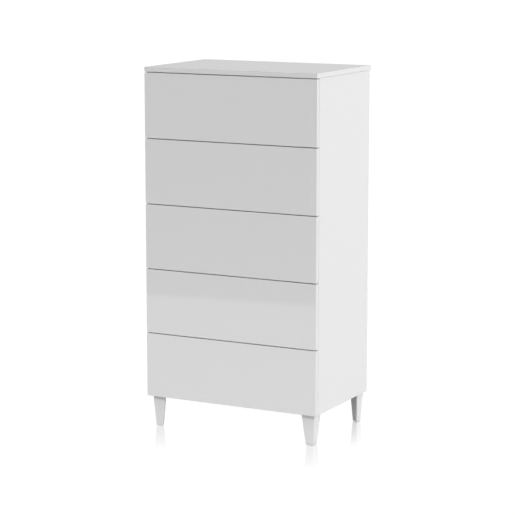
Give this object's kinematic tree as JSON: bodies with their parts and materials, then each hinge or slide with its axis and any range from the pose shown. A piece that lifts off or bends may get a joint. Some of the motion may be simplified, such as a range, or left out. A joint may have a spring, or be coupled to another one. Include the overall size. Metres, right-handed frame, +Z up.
{
  "type": "chest of drawers",
  "caption": "Tall narrow chest of drawers with flush handleless fronts on full-extension ball-bearing slides, standing on short tapered corner legs.",
  "frame": {"origin": "middle of the footprint, at floor level", "axes": "+Z up, the drawer fronts face -Y, +X is to the right of a person who stands before them"},
  "size_m": [0.6, 0.39, 1.152],
  "materials": {
    "gloss_white_board": "white high-gloss foil on fibreboard, edges matched",
    "matt_white_board": "matt white melamine on chipboard",
    "thin_white_board": "white lacquered hardboard, satin",
    "white_leg": "moulded gloss white, to match the board",
    "zinc_steel": "rolled steel strip, bright zinc plated",
    "glide_nylon": "matt nylon"
  },
  "bodies": {
    "carcass": {"top_panel": "gloss_white_board", "side_panel_left": "gloss_white_board", "side_panel_right": "gloss_white_board", "bottom_panel": "matt_white_board", "top_rail_front": "matt_white_board", "top_rail_rear": "matt_white_board", "back_panel": "thin_white_board", "leg_front_left": "white_leg", "foot_glide_front_left": "glide_nylon", "leg_front_right": "white_leg", "foot_glide_front_right": "glide_nylon", "leg_rear_left": "white_leg", "foot_glide_rear_left": "glide_nylon", "leg_rear_right": "white_leg", "foot_glide_rear_right": "glide_nylon", "slide_cabinet_left_1": "zinc_steel", "slide_cabinet_right_1": "zinc_steel", "slide_cabinet_left_2": "zinc_steel", "slide_cabinet_right_2": "zinc_steel", "slide_cabinet_left_3": "zinc_steel", "slide_cabinet_right_3": "zinc_steel", "slide_cabinet_left_4": "zinc_steel", "slide_cabinet_right_4": "zinc_steel", "slide_cabinet_left_5": "zinc_steel", "slide_cabinet_right_5": "zinc_steel"},
    "drawer_1": {"drawer_front_1": "gloss_white_board", "drawer_wrap_1": "matt_white_board", "drawer_bottom_1": "thin_white_board", "slide_drawer_left_1": "zinc_steel", "slide_drawer_right_1": "zinc_steel"},
    "carriage_1": {"slide_middle_left_1": "zinc_steel", "slide_middle_right_1": "zinc_steel"},
    "drawer_2": {"drawer_front_2": "gloss_white_board", "drawer_wrap_2": "matt_white_board", "drawer_bottom_2": "thin_white_board", "slide_drawer_left_2": "zinc_steel", "slide_drawer_right_2": "zinc_steel"},
    "carriage_2": {"slide_middle_left_2": "zinc_steel", "slide_middle_right_2": "zinc_steel"},
    "drawer_3": {"drawer_front_3": "gloss_white_board", "drawer_wrap_3": "matt_white_board", "drawer_bottom_3": "thin_white_board", "slide_drawer_left_3": "zinc_steel", "slide_drawer_right_3": "zinc_steel"},
    "carriage_3": {"slide_middle_left_3": "zinc_steel", "slide_middle_right_3": "zinc_steel"},
    "drawer_4": {"drawer_front_4": "gloss_white_board", "drawer_wrap_4": "matt_white_board", "drawer_bottom_4": "thin_white_board", "slide_drawer_left_4": "zinc_steel", "slide_drawer_right_4": "zinc_steel"},
    "carriage_4": {"slide_middle_left_4": "zinc_steel", "slide_middle_right_4": "zinc_steel"},
    "drawer_5": {"drawer_front_5": "gloss_white_board", "drawer_wrap_5": "matt_white_board", "drawer_bottom_5": "thin_white_board", "slide_drawer_left_5": "zinc_steel", "slide_drawer_right_5": "zinc_steel"},
    "carriage_5": {"slide_middle_left_5": "zinc_steel", "slide_middle_right_5": "zinc_steel"}
  },
  "joints": [
    {"name": "drawer_1_slide", "type": "slide", "parent": "carcass", "child": "drawer_1", "axis": [0, -1, 0], "range_m": [0, 0.34]},
    {"name": "carriage_1_slide", "type": "slide", "parent": "carcass", "child": "carriage_1", "axis": [0, -1, 0], "range_m": [0, 0.17]},
    {"name": "drawer_2_slide", "type": "slide", "parent": "carcass", "child": "drawer_2", "axis": [0, -1, 0], "range_m": [0, 0.34]},
    {"name": "carriage_2_slide", "type": "slide", "parent": "carcass", "child": "carriage_2", "axis": [0, -1, 0], "range_m": [0, 0.17]},
    {"name": "drawer_3_slide", "type": "slide", "parent": "carcass", "child": "drawer_3", "axis": [0, -1, 0], "range_m": [0, 0.34]},
    {"name": "carriage_3_slide", "type": "slide", "parent": "carcass", "child": "carriage_3", "axis": [0, -1, 0], "range_m": [0, 0.17]},
    {"name": "drawer_4_slide", "type": "slide", "parent": "carcass", "child": "drawer_4", "axis": [0, -1, 0], "range_m": [0, 0.34]},
    {"name": "carriage_4_slide", "type": "slide", "parent": "carcass", "child": "carriage_4", "axis": [0, -1, 0], "range_m": [0, 0.17]},
    {"name": "drawer_5_slide", "type": "slide", "parent": "carcass", "child": "drawer_5", "axis": [0, -1, 0], "range_m": [0, 0.34]},
    {"name": "carriage_5_slide", "type": "slide", "parent": "carcass", "child": "carriage_5", "axis": [0, -1, 0], "range_m": [0, 0.17]}
  ],
  "couplings": [
    {"joint": "carriage_1_slide", "follows": "drawer_1_slide", "ratio": 0.5},
    {"joint": "carriage_2_slide", "follows": "drawer_2_slide", "ratio": 0.5},
    {"joint": "carriage_3_slide", "follows": "drawer_3_slide", "ratio": 0.5},
    {"joint": "carriage_4_slide", "follows": "drawer_4_slide", "ratio": 0.5},
    {"joint": "carriage_5_slide", "follows": "drawer_5_slide", "ratio": 0.5}
  ]
}
